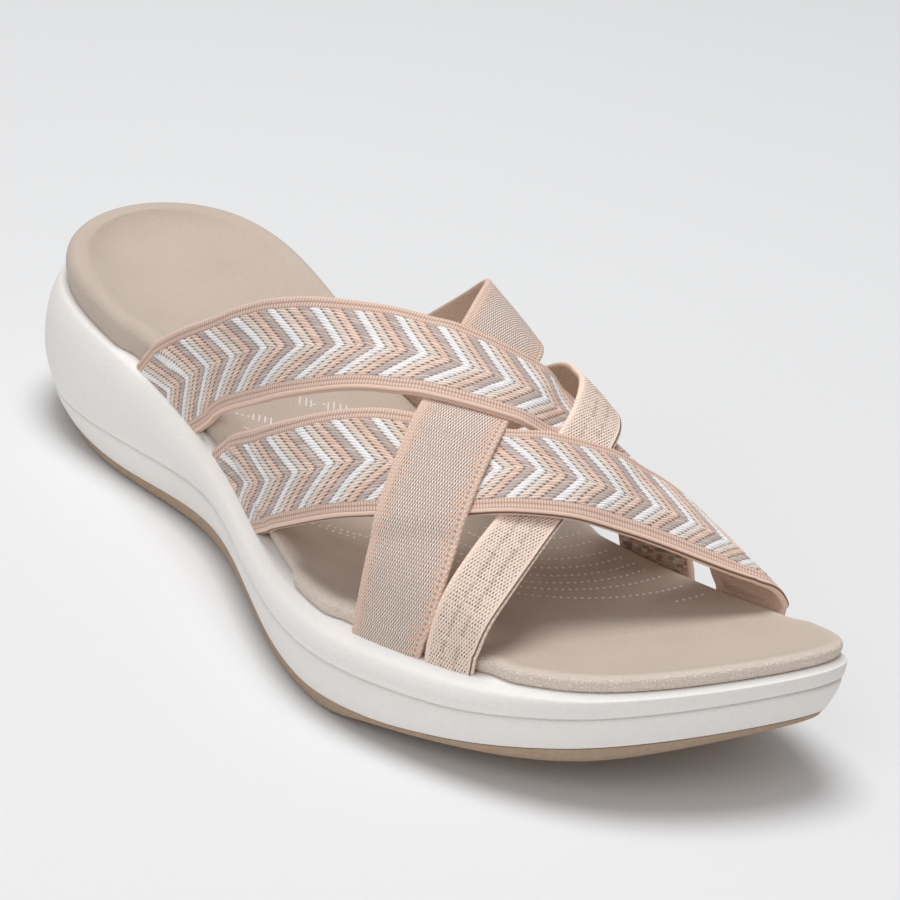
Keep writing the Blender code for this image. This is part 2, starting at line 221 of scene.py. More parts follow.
FOOTBED_RINGS = (
    ("edge", "rim", 0.0, PIECE_GAP, -3.4, -3.2, -4.2),
    ("edge", "rim", 0.45, 0.0, -2.9, -2.2, -3.5),
    ("edge", "rim", 0.8, 0.0, -3.1, -2.6, -3.7),
    ("edge", "rim", 1.0, 0.0, -4.6, -4.4, -5.2),
    ("edge", "rim", 1.0, -0.3, -7.0, -7.4, -7.4),
)
HEEL_END, TOE_START = (6.0, 55.0), (205.0, 250.0)   # where the heel's and the toe's measures fade
SOLE_ROWS = 180                                     # rungs across the sole from heel to toe
print("sole:", len(OUTLINE), "outline points,", len(SOLE_TABLE), "height rows")

# %% Smooth curves through the tables
def cubic(t, start, end, leave, arrive):
    """Cubic from start to end, with the slopes at which it leaves and arrives."""
    return ((2 * t**3 - 3 * t**2 + 1) * start + (t**3 - 2 * t**2 + t) * leave
            + (3 * t**2 - 2 * t**3) * end + (t**3 - t**2) * arrive)


def monotone(xs, ys, x):
    """Smooth curve through a column of a table that never overshoots its rows."""
    xs, ys, x = np.asarray(xs, float), np.asarray(ys, float), np.asarray(x, float)
    step = np.diff(xs)
    slope = np.diff(ys) / step
    tangent = np.empty_like(ys)
    tangent[0], tangent[-1] = slope[0], slope[-1]
    wide, narrow = step[:-1] + 2 * step[1:], 2 * step[:-1] + step[1:]
    with np.errstate(divide="ignore", invalid="ignore"):
        mean = (wide + narrow) / (narrow / slope[:-1] + wide / slope[1:])
    tangent[1:-1] = np.where(slope[:-1] * slope[1:] > 0, mean, 0.0)
    x = np.clip(x, xs[0], xs[-1])
    row = np.clip(np.searchsorted(xs, x) - 1, 0, len(step) - 1)
    t = (x - xs[row]) / step[row]
    leave, arrive = step[row] * tangent[row], step[row] * tangent[row + 1]
    return cubic(t, ys[row], ys[row + 1], leave, arrive)


def smooth_step(low, high, value):
    t = np.clip((np.asarray(value, float) - low) / (high - low), 0.0, 1.0)
    return t * t * (3.0 - 2.0 * t)


def sole_height(name, x):
    """Height of one line of the sole at x; the rim is the footbed's rise above the edge."""
    if name == "rim":
        return sole_height("edge", x) + sole_height("rise", x)
    height = monotone(SOLE_TABLE[:, 0], SOLE_TABLE[:, SOLE_COLUMNS.index(name)], x)
    if name == "bottom":
        return height / math.cos(PITCH) - (x - BALL_X) * math.tan(PITCH)
    return height


def closed_curve(points, count):
    """Closed cubic spline through the points: its positions and its outward normals."""
    points = np.asarray(points, float)
    n = len(points)
    matrix = 4.0 * np.eye(n) + np.roll(np.eye(n), 1, axis=0) + np.roll(np.eye(n), -1, axis=0)
    ahead, behind = np.roll(points, -1, axis=0), np.roll(points, 1, axis=0)
    tangent = np.linalg.solve(matrix, 3.0 * (ahead - behind))
    at = np.linspace(0.0, n, count, endpoint=False)
    i = at.astype(int)
    t, j = (at - i)[:, None], (i + 1) % n
    place = cubic(t, points[i], points[j], tangent[i], tangent[j])
    along = np.gradient(np.vstack([place[-1:], place, place[:1]]), axis=0)[1:-1]
    normal = np.stack([along[:, 1], -along[:, 0]], axis=1)
    return place, normal / np.linalg.norm(normal, axis=1, keepdims=True)


def two_sides(line):
    """Numbers of a closed line's points from heel to toe, on the outer and the inner side."""
    heel, toe = int(line[:, 0].argmin()), int(line[:, 0].argmax())
    order = (heel + np.arange(len(line))) % len(line)
    turn = (toe - heel) % len(line)
    return order[:turn + 1], order[turn:][::-1]


print("edge height at the ball, mm:", round(float(sole_height("edge", 182.0)), 1))

# %% [markdown]
# ## The straps' own lines
# Each strap is drawn over a last, the form a shoe is made on. Its rear and front edges are given
# at five steps from the outer side of the foot to the inner side, with the straps that it passes
# over and under. The tables are the CAD's too.

# %% Tables of the straps
LAST_TABLE = np.array((     # x, height, lean and fullness
    (60.0, 56.7, 1.14, 0.75),
    (80.0, 62.7, 1.11, 0.74),
    (110.0, 66.1, 1.07, 0.82),
    (150.0, 57.4, 1.05, 0.88),
    (190.0, 35.5, 0.96, 1.03),
    (205.0, 25.3, 0.96, 1.15),
    (222.0, 7.8, 0.96, 1.27),
))
STRAPS = {
    "rear_chevron": {
        "rear": (59.8, 122.8, 163.8, 174.6, 178.9), "front": (86.3, 154.9, 187.0, 196.4, 200.0),
        "lift": (0.0, -0.2, -0.9, 0.5, 0.0), "over": "broad_plain", "under": "narrow_plain"},
    "front_chevron": {
        "rear": (94.1, 161.7, 188.8, 198.6, 207.0), "front": (131.3, 192.4, 209.7, 221.5, 225.0),
        "lift": (0.0, -0.2, -0.35, 3.0, 0.0), "over": "narrow_plain", "under": "broad_plain"},
    "broad_plain": {
        "rear": (182.3, 180.3, 164.8, 135.5, 77.3), "front": (200.1, 199.1, 184.5, 158.2, 98.3),
        "lift": (0.0, -0.2, -0.9, 0.5, 0.0), "over": "front_chevron", "under": "rear_chevron"},
    "narrow_plain": {
        "rear": (201.2, 202.0, 193.8, 166.9, 102.2), "front": (212.6, 212.3, 203.9, 181.0, 118.0),
        "lift": (0.0, 0.5, -0.65, 3.5, 0.0), "over": "rear_chevron", "under": "front_chevron"},
}
STRAP_INSET = 3.4           # a strap's feet stand this far in from the widest line
UPRIGHT = 0.022             # share of the way over the last in which a foot stands upright
LIFT_START = 0.2            # share of the way over the last at which a strap has its full slack
TOE_FALL = 1.2              # slope of the last in front of its table
CROSS_STEP, CROSS_RAMP = 1.0, 9.0   # step of each of two crossing straps, length of its ramp
STRAP_HALF = 0.75           # half the thickness of the elastic, without its ribs
STRAP_SINK = 0.8            # how far a strap's end goes down into the sole
TUCK_DEPTH, TUCK_MARGIN, TUCK_RAMP = 1.8, 3.0, 7.0      # room for the ends beside the footbed
FOOT_POINTS = 1200          # points of the line that the straps' feet stand on
print("straps:", ", ".join(STRAPS))

# %% Points on the last
def strap_edge(places, over):
    """Value at a share of the way over the last, on a smooth curve through five even places."""
    return np.polyval(np.polyfit(np.linspace(0.0, 1.0, len(places)), places, len(places) - 1), over)


def last_sides():
    """The straps' foot line as two rising tables of x and y, outer side and inner side."""
    place, normal = closed_curve(OUTLINE, FOOT_POINTS)
    line = place - normal * STRAP_INSET
    sides = (line[numbers] for numbers in two_sides(line))
    return [(np.maximum.accumulate(side[:, 0]), side[:, 1]) for side in sides]


FOOT_LINES = last_sides()


def last_point(x, over):
    """Point of the last, x along the sandal and over from 0 at the outer to 1 at the inner foot."""
    outer, inner = (np.interp(x, *line) for line in FOOT_LINES)
    height, lean, fullness = (monotone(LAST_TABLE[:, 0], LAST_TABLE[:, i], x) for i in (1, 2, 3))
    height = height - TOE_FALL * np.maximum(x - LAST_TABLE[-1, 0], 0.0)
    upright = np.clip(np.minimum(over, 1.0 - over) / UPRIGHT, 0.0, 1.0)
    turn = np.clip((over - UPRIGHT) / (1.0 - 2.0 * UPRIGHT), 0.0, 1.0)
    y = outer + (inner - outer) * (1.0 - np.cos(np.pi * turn)) / 2.0
    arch = np.clip(np.sin(np.pi * turn**lean), 0.0, 1.0) ** fullness
    z = sole_height("edge", x) + PIECE_GAP + sole_height("rise", x) * upright + height * arch
    return np.stack([x, y, z], axis=-1)


def strap_lift(strap, x, over):
    """How far a strap stands off the last: half steps at crossings, and its own slack."""
    lift = np.zeros_like(x)
    for sign, other in ((1.0, STRAPS[strap["over"]]), (-1.0, STRAPS[strap["under"]])):
        rear, front = strap_edge(other["rear"], over), strap_edge(other["front"], over)
        outside = np.maximum(np.maximum(rear - x, x - front), 0.0)
        lift += sign * CROSS_STEP * (1.0 - smooth_step(0.0, CROSS_RAMP, outside))
    free = smooth_step(UPRIGHT, LIFT_START, np.minimum(over, 1.0 - over))
    return lift + strap_edge(strap["lift"], over) * free


print("crest of the last, mm:", round(float(last_point(np.array(110.0), np.array(0.5))[2]), 1))

# %% [markdown]
# ## Meshes from points
# Every skin below is a set of rows of points with faces between them. One helper turns such rows
# into an object at the origin, moves the heel-based millimetres to the CAD's frame and shades it
# smooth, with a sharp edge only where two faces meet at a steep angle.

# %% Mesh helpers
SHARP_ANGLE = math.radians(50.0)


def to_frame(points):
    """Levels the base line, so that heel and ball lie on the floor, and centres the sandal."""
    x, y, z = np.asarray(points, float).T
    run, sine, cosine = x - BALL_X, math.sin(PITCH), math.cos(PITCH)
    level = np.column_stack([BALL_X + run * cosine - z * sine, y, z * cosine + run * sine])
    return (level - (MIDDLE_X, MIDDLE_Y, 0.0)) * MM


def new_mesh(name, points, edges, faces):
    """An object made of points, in metres, with edges or faces between them."""
    mesh = bpy.data.meshes.new(name)
    mesh.from_pydata(np.asarray(points, float).tolist(), edges, faces)
    return new_object(name, mesh)


def new_piece(name, points, faces, material=None):
    piece = new_mesh(name, to_frame(points), [], [[int(i) for i in f] for f in faces])
    piece.data.shade_smooth()
    piece.data.set_sharp_from_angle(angle=SHARP_ANGLE)
    if material:
        piece.data.materials.append(material)
    return piece


def store(piece, name, values):
    attribute = piece.data.attributes.new(name, "FLOAT", "POINT")
    attribute.data.foreach_set("value", np.asarray(values, np.float32).ravel())


def paint(red, green, blue):
    """A colour as picture software gives it, 0 to 255, as the linear colour that nodes use."""
    shares = [c / 255.0 for c in (red, green, blue)]
    return (*[s / 12.92 if s <= 0.04045 else ((s + 0.055) / 1.055) ** 2.4 for s in shares], 1.0)


def new_finish(name, roughness, **constants):
    """A material with its Principled shader: constant values go straight on the sockets."""
    material = bpy.data.materials.new(name)
    material.use_nodes = True
    shader = material.node_tree.nodes["Principled BSDF"]
    shader.inputs["Roughness"].default_value = roughness
    for socket, value in constants.items():
        shader.inputs[socket.replace("_", " ")].default_value = value
    return material, Bench(material.node_tree), shader


def dress(bench, shader, colour, height=None, depth=0.0):
    """Feeds a finish's shader its colour, and a bump of so many millimetres."""
    bench.feed(colour, shader.inputs["Base Color"])
    if height is not None:
        normal = bench.add("ShaderNodeBump", {}, {"Height": height, "Distance": depth * MM})
        bench.feed(normal, shader.inputs["Normal"])


print("sharp edges from", round(math.degrees(SHARP_ANGLE)), "degrees")

# %% [markdown]
# ## Finishes of the sole
# The midsole is moulded foam: off-white, matt, with a fine pebble from the mould. The outsole is
# a tan rubber. The footbed is a brushed synthetic suede with a soft nap. The grain is
# noise on Object coordinates, because it has no direction. A number stored at the footbed's points
# makes its rim more grained towards the toe, and paler there as painted light on the sideways rim.

# %% Foam, rubber and suede
def foam_finish():
    material, bench, shader = new_finish("moulded_foam", 0.62, Specular_IOR_Level=0.3)
    pebble, cloud = bench.noise(1500.0, 1.0), bench.noise(35.0, 3.0)
    colour = bench.mix(cloud, paint(243, 238, 233), paint(249, 246, 242))
    dress(bench, shader, bench.shade(colour, 0.94 + pebble * 0.1), pebble, 0.08)
    return material


def rubber_finish():
    material, bench, shader = new_finish("tan_rubber", 0.7, Specular_IOR_Level=0.3)
    speck = bench.noise(900.0)
    dress(bench, shader, bench.mix(speck, paint(164, 138, 116), paint(190, 166, 143)), speck, 0.1)
    return material


def creases(bench):
    """Fine leather grain: 0 in its wandering creases and 1 between them."""
    place = bench.place()
    noise = bench.add("ShaderNodeTexNoise", {}, {"Vector": place, "Scale": 700.0}, out=1)
    wander = bench.add("ShaderNodeVectorMath", {"operation": "SCALE"}, {0: noise, "Scale": 0.0012})
    place = bench.add("ShaderNodeVectorMath", {"operation": "ADD"}, {0: place, 1: wander})
    return bench.add("ShaderNodeTexVoronoi", {"feature": "DISTANCE_TO_EDGE"},
                     {"Vector": place, "Scale": 1150.0}).ease(0.0, 0.22)


def suede_finish():
    material, bench, shader = new_finish("brushed_suede", 0.9, Specular_IOR_Level=0.2,
                                         Sheen_Weight=0.15)
    nap, cloud, crease = bench.noise(2200.0), bench.noise(60.0, 3.0), creases(bench)
    rim = bench.add("ShaderNodeAttribute", {"attribute_name": "rim"}, out="Fac")
    colour = bench.mix(cloud, paint(195, 178, 163), paint(207, 191, 177))
    # Painted light: the rim faces sideways, and it is painted paler towards the toe.
    colour = bench.mix(rim * 0.75, colour, paint(246, 231, 217))
    grain = 1.0 - (1.0 - crease) * (0.02 + rim * 0.06)
    colour = bench.shade(bench.shade(colour, 0.89 + nap * 0.24), grain)
    dress(bench, shader, colour, nap + crease * (0.1 + rim * 0.8), 0.12)
    return material


FOAM, RUBBER, SUEDE = foam_finish(), rubber_finish(), suede_finish()
print("sole finishes:", FOAM.name, RUBBER.name, SUEDE.name)

# %% [markdown]
# ## Skins of the sole
# A layer of the sole is a stack of closed lines. The CAD joins them with flat faces. Here extra
# lines are put between them on a smooth curve, so the sides bulge softly as moulded foam does.

# %% Lines round the sole
OUTLINE_POINTS = 6000       # points of the widest line, from which the rows are picked


def outline_rows():
    """Points of the widest line in rows: heel tip, outer side, toe tip, inner side back again."""
    place, normal = closed_curve(OUTLINE, OUTLINE_POINTS)
    outer, inner = two_sides(place)
    heel_x, toe_x = place[outer[0], 0], place[outer[-1], 0]
    at = (1.0 - np.cos(np.pi * np.arange(SOLE_ROWS + 1) / SOLE_ROWS)) / 2.0
    sides = []
    for side in (outer, np.append(outer[0], inner)):
        rising = np.maximum.accumulate(place[side, 0])
        picks = np.searchsorted(rising, heel_x + at * (toe_x - heel_x))
        picks = np.clip(picks, 0, len(side) - 1)
        picks[0], picks[-1] = 0, len(side) - 1
        sides.append(side[picks])
    picked = np.concatenate([sides[0], sides[1][-2:0:-1]])
    return place[picked], normal[picked]


SOLE_LINE, SOLE_NORMAL = outline_rows()
ON_OUTER_SIDE = np.arange(len(SOLE_LINE)) <= SOLE_ROWS


def tuck(on_outer_side):
    """How far the footbed's edge moves in to leave room for the ends of the straps."""
    lowest = np.array((0.0, 2.0 * UPRIGHT) if on_outer_side else (1.0 - 2.0 * UPRIGHT, 1.0))
    most, x = np.zeros(len(SOLE_LINE)), SOLE_LINE[:, 0]
    for strap in STRAPS.values():
        places = np.append(strap_edge(strap["rear"], lowest), strap_edge(strap["front"], lowest))
        start, stop = places.min() - TUCK_MARGIN, places.max() + TUCK_MARGIN
        inside = smooth_step(start - TUCK_RAMP, start, x)
        inside = inside * (1.0 - smooth_step(stop, stop + TUCK_RAMP, x))
        most = np.maximum(most, inside)
    return TUCK_DEPTH * most


TUCK = np.where(ON_OUTER_SIDE, tuck(True), tuck(False))


def sole_ring(ring, tucked=False):
    low, high, share, step, side, heel, toe = ring
    at_heel = 1.0 - smooth_step(*HEEL_END, SOLE_LINE[:, 0])
    at_toe = smooth_step(*TOE_START, SOLE_LINE[:, 0])
    out = side + (heel - side) * at_heel + (toe - side) * at_toe - (TUCK if tucked else 0.0)
    moved = SOLE_LINE + SOLE_NORMAL * out[:, None]
    x = moved[:, 0]
    z = sole_height(low, x) * (1.0 - share) + sole_height(high, x) * share + step
    return np.column_stack([moved, z])


def soften(rings, extra):
    """Puts extra lines between the given ones, on a smooth curve through them."""
    rings = np.asarray(rings)
    padded = np.concatenate([rings[:1], rings, rings[-1:]])
    lines = []
    for a, b, c, d in zip(padded, padded[1:], padded[2:], padded[3:]):
        for t in np.arange(extra) / extra:
            lines.append(0.5 * (2 * b + (c - a) * t + (2 * a - 5 * b + 4 * c - d) * t**2
                                + (3 * b - a - 3 * c + d) * t**3))
    return lines + [rings[-1]]


print("points in a line round the sole:", len(SOLE_LINE))

# %% Outsole and midsole
def rung_pairs():
    """Numbers of the points that face each other on the outer and the inner side."""
    total = 2 * SOLE_ROWS
    return [(row, (total - row) % total) for row in range(SOLE_ROWS + 1)]


def ladder(start, upward):
    """Faces that close a line with rungs from the outer to the inner side."""
    faces, pairs = [], rung_pairs()
    for (a, b), (c, d) in zip(pairs, pairs[1:]):
        corners = [start + i for i in dict.fromkeys((a, c, d, b))]
        faces.append(corners if upward else corners[::-1])
    return faces


def stack(lines):
    """Points of a stack of closed lines, with the faces between them."""
    count, faces = len(lines[0]), []
    for level in range(len(lines) - 1):
        low, high = level * count, (level + 1) * count
        faces += [[low + i, low + (i + 1) % count, high + (i + 1) % count, high + i]
                  for i in range(count)]
    return np.vstack(lines), faces


def make_layer(name, rings, extra, finish):
    lines = soften([sole_ring(ring) for ring in rings], extra)
    points, faces = stack(lines)
    faces += ladder(0, False) + ladder((len(lines) - 1) * len(lines[0]), True)
    return new_piece(name, points, faces, finish)


outsole = make_layer("outsole_rubber", OUTSOLE_RINGS, 3, RUBBER)
midsole = make_layer("midsole_foam", MIDSOLE_RINGS, 5, FOAM)
for piece in (outsole, midsole):
    print(piece.name, len(piece.data.polygons), "faces")

# %% [markdown]
# ## The footbed
# The footbed is moulded with a rolled rim and a hollow that is deepest under the heel. It is a
# stack of lines for the rim, then rows across for the hollow.

# %% Footbed
BED_COLUMNS = 40
END_SHARE = 8.0 / 60.0      # share of the rows over which the hollow runs out at heel and toe
HOLLOW_POWER = 2.6          # how evenly deep the hollow is across
# Along the rim and up it: its real grain, and the paleness that is painted on it as light.
RIM_GRAIN_AND_LIGHT = (90.0, 190.0)   # the rim turns from smooth to pale and grained along here,
RIM_LEVELS = (0.3, 0.95)    # and the grain fades up the rim along here


def hollow_depth(x, share, row_share):
    end = smooth_step(0.0, END_SHARE, np.minimum(row_share, 1.0 - row_share))
    return sole_height("cup", x) * (1.0 - np.abs(2.0 * share - 1.0) ** HOLLOW_POWER) * end


def make_footbed():
    lines = soften([sole_ring(ring, True) for ring in FOOTBED_RINGS], 5)
    points, faces = stack(lines)
    faces += ladder(0, False)
    rim, first = lines[-1], (len(lines) - 1) * len(lines[0])
    points, grid = list(points), []
    for row, (outer, inner) in enumerate(rung_pairs()):
        numbers = [first + outer]
        if outer != inner:
            for share in np.linspace(0.0, 1.0, BED_COLUMNS + 1)[1:-1]:
                spot = rim[outer] * (1.0 - share) + rim[inner] * share
                spot[2] -= hollow_depth(spot[0], share, row / SOLE_ROWS)
                numbers.append(len(points))
                points.append(spot)
            numbers.append(first + inner)
        grid.append(numbers)
    for here, there in zip(grid, grid[1:]):
        if len(here) == 1:
            faces += [[here[0], a, b] for a, b in zip(there, there[1:])]
        elif len(there) == 1:
            faces += [[b, a, there[0]] for a, b in zip(here, here[1:])]
        else:
            faces += [[here[i], there[i], there[i + 1], here[i + 1]] for i in range(BED_COLUMNS)]
    piece = new_piece("footbed_suede", points, faces, SUEDE)
    levels = np.arange(len(lines)) / (len(lines) - 1)
    # The rim's grain and its painted light rise towards the toe and fade up the rim.
    rim_grain_and_light = np.repeat(1.0 - smooth_step(*RIM_LEVELS, levels), len(rim))
    rim_grain_and_light *= smooth_step(*RIM_GRAIN_AND_LIGHT, np.vstack(lines)[:, 0])
    store(piece, "rim", np.append(rim_grain_and_light, np.zeros(len(points) - len(rim_grain_and_light))))
    return piece, rim


footbed, bed_rim = make_footbed()
print(footbed.name, len(footbed.data.polygons), "faces")

# %% [markdown]
# ## Bands of elastic
# A strap is a closed band: a fine outer skin, a coarser inner skin and rounded edges. Four numbers
# are stored at each point for the weave to follow. Three are in millimetres: how far along the
# strap it lies, how far from the strap's middle line, and how far in from the nearest edge. The
# fourth is 1 on the outer skin and falls to 0 round the edges.

# %% Middle surface of a strap
ROW_STEP, COLUMN_STEP = 0.3, 0.28   # size of a strap's mesh along and across
EVEN_POINTS = 4001                  # points of a middle line before it is divided evenly


def lengths(line):
    """How far along a line of points each of them lies."""
    return np.append(0.0, np.cumsum(np.linalg.norm(np.diff(line, axis=0), axis=1)))


def even_steps(name):
    """Shares of the way over the last that lie evenly along the strap's middle line."""
    strap, over = STRAPS[name], np.linspace(0.0, 1.0, EVEN_POINTS)
    x = (strap_edge(strap["rear"], over) + strap_edge(strap["front"], over)) / 2.0
    length = lengths(last_point(x, over))
    rows = int(length[-1] / ROW_STEP)
    return np.interp(np.linspace(0.0, length[-1], rows + 1), length, over)


def unit(vectors):
    return vectors / np.linalg.norm(vectors, axis=-1, keepdims=True)


def normals(place):
    return unit(np.cross(np.gradient(place, axis=1), np.gradient(place, axis=0)))


def strap_sheet(name, over, across):
    """Middle surface of a strap on a grid, lifted off the last, and its outward normals."""
    strap = STRAPS[name]
    x = (strap_edge(strap["rear"], over)[:, None] * (1.0 - across)
         + strap_edge(strap["front"], over)[:, None] * across)
    grid_over = over[:, None] * np.ones_like(x)
    place = last_point(x, grid_over)
    place = place + normals(place) * strap_lift(strap, x, grid_over)[..., None]
    return place, normals(place)


print("mesh of a strap:", ROW_STEP, "by", COLUMN_STEP, "mm")

# %% Places along and across a strap
RUN_ON = 150                # rows drawn straight on past each end of a strap
SKIP = 21                   # rows left off at each end first, where a strap turns upright
END_ROWS = 20               # rows that give the direction of a straight end
SPAN = 42                   # rows on each side that a point is averaged with
COARSE, ROUNDS = 8, 5       # a place is looked for on every eighth row, then mended in five rounds


def drawn_on(line):
    """A strap's line with straight ends, averaged so that it turns gently."""
    core, steps = line[SKIP:-SKIP], np.arange(RUN_ON, 0, -1.0)[:, None]
    line = np.vstack([core[0] + (core[0] - core[END_ROWS]) / END_ROWS * steps, core,
                      core[-1] + (core[-1] - core[-END_ROWS - 1]) / END_ROWS * steps[::-1]])
    sums = np.cumsum(np.pad(line, ((SPAN + 1, SPAN), (0, 0)), "edge"), axis=0)
    return (sums[2 * SPAN + 1:] - sums[:-2 * SPAN - 1]) / (2 * SPAN + 1)


def places_along(points, middle):
    """How far along a strap's middle line each point lies."""
    middle = drawn_on(middle)
    length, tangent = lengths(middle), unit(np.gradient(middle, axis=0))

    def at(table, along):
        return np.stack([np.interp(along, length, table[:, i]) for i in range(3)], axis=-1)

    gaps = np.linalg.norm(points[:, None, :] - middle[None, ::COARSE, :], axis=2)
    along = length[gaps.argmin(1) * COARSE]
    for _ in range(ROUNDS):
        along = along + ((points - at(middle, along)) * unit(at(tangent, along))).sum(1)
        along = np.clip(along, 0.0, length[-1])
    return along


def edge_scale(line, row):
    """Millimetres square to an edge line for each millimetre along the rows that meet it."""
    return np.linalg.norm(np.cross(unit(np.gradient(line, axis=0)), unit(row)), axis=1)[:, None]


def edge_distances(ring, inset, width, whole):
    """How far each point of a band lies from the strap's rear edge and from its front edge."""
    columns, row = max(r[0] for r in ring), whole[:, 2] - whole[:, 0]
    part = np.array([r[0] / columns for r in ring])[None, :]
    out = np.array([r[2] for r in ring])[None, :]
    reach = (inset + part * (1.0 - 2.0 * inset)) * width
    return ((reach - out * (part == 0.0)) * edge_scale(whole[:, 0], row),
            (width - reach - out * (part == 1.0)) * edge_scale(whole[:, 2], row))


print("a point is averaged over", 2 * SPAN + 1, "rows")

# %% Closed band from a sheet
LIP_TURNS = np.radians((30.0, 60.0, 90.0, 120.0, 150.0))
INNER_EVERY = 4             # the inner skin has every fourth column of the outer one


def band_ring(columns):
    """Points round a band: column, height, step outwards and share of the outer skin."""
    ring = [(j, STRAP_HALF, 0.0, 1.0) for j in range(columns + 1)]
    ring += [(columns, STRAP_HALF * math.cos(t), STRAP_HALF * math.sin(t), max(math.cos(t), 0.0))
             for t in LIP_TURNS]
    ring += [(j, -STRAP_HALF, 0.0, 0.0) for j in range(columns, -1, -INNER_EVERY)]
    if ring[-1][0] != 0:
        ring.append((0, -STRAP_HALF, 0.0, 0.0))
    return ring + [(0, -STRAP_HALF * math.cos(t), STRAP_HALF * math.sin(t), max(-math.cos(t), 0.0))
                   for t in LIP_TURNS]


def band_points(ring, place, normal):
    """Rows of points round a band, from its middle surface; the end rows go into the sole."""
    middle, lines = place[:, (place.shape[1] - 1) // 2], []
    for j, height, out, _ in ring:
        line = place[:, j] + normal[:, j] * height
        if out:
            outward = np.cross(np.gradient(place[:, j], axis=0), normal[:, j])
            outward *= np.sign((outward * (place[:, j] - middle)).sum())
            line = line + unit(outward) * out
        lines.append(line)
    points = np.stack(lines, axis=1)
    for end in (0, -1):
        points[end, :, 2] = sole_height("edge", points[end, :, 0]) - STRAP_SINK
    return points


print("rounded edge in", len(LIP_TURNS) + 1, "steps")

# %% The four bands
# Elastic stretches where it is pulled up the outer side of the foot: places along a strap, and
# the places in its slack pattern that lie there.
STRETCH = {
    "rear_chevron": ((0.0, 37.4, 57.9, 72.5, 91.5, 108.8, 121.8, 141.4, 168.8, 260.0),
                     (-40.0, 1.0, 21.0, 31.0, 41.0, 51.0, 61.0, 81.0, 111.0, 210.0)),
    "front_chevron": ((0.0, 45.9, 66.1, 84.0, 96.9, 107.0, 142.2, 178.4, 260.0),
                      (-20.0, 1.0, 11.0, 21.0, 31.0, 41.0, 81.0, 121.0, 210.0)),
}
# Along a strap, from where to where its Vs move towards the front edge, and how far.
TIP_SHIFT = {"front_chevron": (135.0, 156.0, 1.9)}
NO_SHIFT = (0.0, 1.0, 0.0)


def make_band(name):
    over = even_steps(name)
    whole, _ = strap_sheet(name, over, np.linspace(0.0, 1.0, 3)[None, :])
    width = np.linalg.norm(whole[:, 2] - whole[:, 0], axis=1)[:, None]
    columns = int(width.mean() / COLUMN_STEP)
    inset, share = STRAP_HALF / width, np.linspace(0.0, 1.0, columns + 1)[None, :]
    ring = band_ring(columns)
    rows = band_points(ring, *strap_sheet(name, over, inset + share * (1.0 - 2.0 * inset)))
    points, faces = stack(rows)
    faces += [list(range(len(ring)))[::-1], list(range(len(points) - len(ring), len(points)))]
    band = new_piece(name + "_strap", points, faces)
    along = places_along(points, whole[:, 1])
    from_rear, from_front = edge_distances(ring, inset, width, whole)
    start, stop, shift = TIP_SHIFT.get(name, NO_SHIFT)
    drift = smooth_step(start, stop, along) * shift
    store(band, "along", monotone(*STRETCH[name], along) if name in STRETCH else along)
    store(band, "across", ((from_rear - from_front) / 2.0).ravel() - drift)
    store(band, "edge", np.minimum(from_rear, from_front))
    store(band, "skin", np.tile([r[3] for r in ring], len(rows)))
    print(band.name, len(rows), "rows of", len(ring), "points,", round(float(along.max())),
          "mm long,", round(float(width.mean()), 1), "mm wide")
    return band


bands = {name: make_band(name) for name in STRAPS}

# %% [markdown]
# ## Chevron ribs
# The two patterned straps have raised rows of stitches in a V: white, cream, peach and taupe, which
# repeat every ten millimetres. Along each row the stitches bulge one by one. Small pink loops make
# the selvedge on both edges, and the front edge has a smooth rolled lip too. These formulas are
# written once: a Geometry Nodes tree moves the skin by them, and the shader takes its colours from
# the same measures.

# %% Measures of the chevrons
REPEAT = 10.0               # length of a repeat along the strap
ROW = REPEAT / 4.0          # white, cream, peach and taupe
SLOPE = 1.06                # how far a V runs along the strap for each step across
STITCH, SLANT = 1.1, 0.76   # length of a stitch, and how much of it the slant of its ends takes
LIP, LOOP_WIDE, LOOP_LONG = 0.95, 1.2, 0.7      # width of the rolled lip, size of a loop
SELVEDGE = (2.5, 3.2)       # width of the pink edge at the rear and at the front
CORD_HIGH, TAUPE_LOWER = 0.45, 0.1      # height of a row, and how much less the taupe one has
LOOP_HIGH, LIP_HIGH = 0.22, 0.26


def chevron_place(along, across):
    """Where in the repeat a point lies: the V points to the inner side of the foot."""
    return ((along + abs(across) * SLOPE) / REPEAT).part() * REPEAT


def chevron_rows(along, across):
    """Bulge of the row and of the stitch at a point, and the stitch's number along the row."""
    lane = chevron_place(along, across) / ROW
    step = (abs(across) * (math.hypot(1.0, SLOPE) / STITCH)
            + lane.whole() * 0.5 + lane.part() * SLANT)
    return lane, lane.part().hump(0.5, 0.52), step.part().hump(0.5, 0.53), step.whole()


def past_selvedge(across, edge):
    """Distance of a point from the inner border of the pink edge, towards the pattern."""
    return edge - SELVEDGE[0] - (across > 0.0) * (SELVEDGE[1] - SELVEDGE[0])


def selvedge_loops(along, across, edge):
    """Distance beyond the lip, which only the front edge has, and the bulge of the loops."""
    beyond = edge - (across > 0.0) * LIP
    column = (beyond / LOOP_WIDE).part().hump(0.5, 0.51) ** 0.6
    return beyond, column * (along / LOOP_LONG + beyond * 0.1).part().hump(0.5, 0.56)


def chevron_height(along, across, edge):
    lane, row, stitch, _ = chevron_rows(along, across)
    cords = row ** 0.8 * (CORD_HIGH - (lane > 3.0) * TAUPE_LOWER) * (0.4 + stitch * 0.6)
    beyond, loops = selvedge_loops(along, across, edge)
    lip = (beyond < 0.0) * edge.hump(LIP / 2.0, 0.5) * LIP_HIGH
    border = loops * (beyond > 0.0) * LOOP_HIGH + lip
    centre = past_selvedge(across, edge).ease(-0.15, 0.25)
    return cords * centre + border * (1.0 - centre)


print("repeat", REPEAT, "mm, rows of", ROW, "mm")

# %% Geometry Nodes: relief on a band
MEASURES = ("along", "across", "edge", "skin")


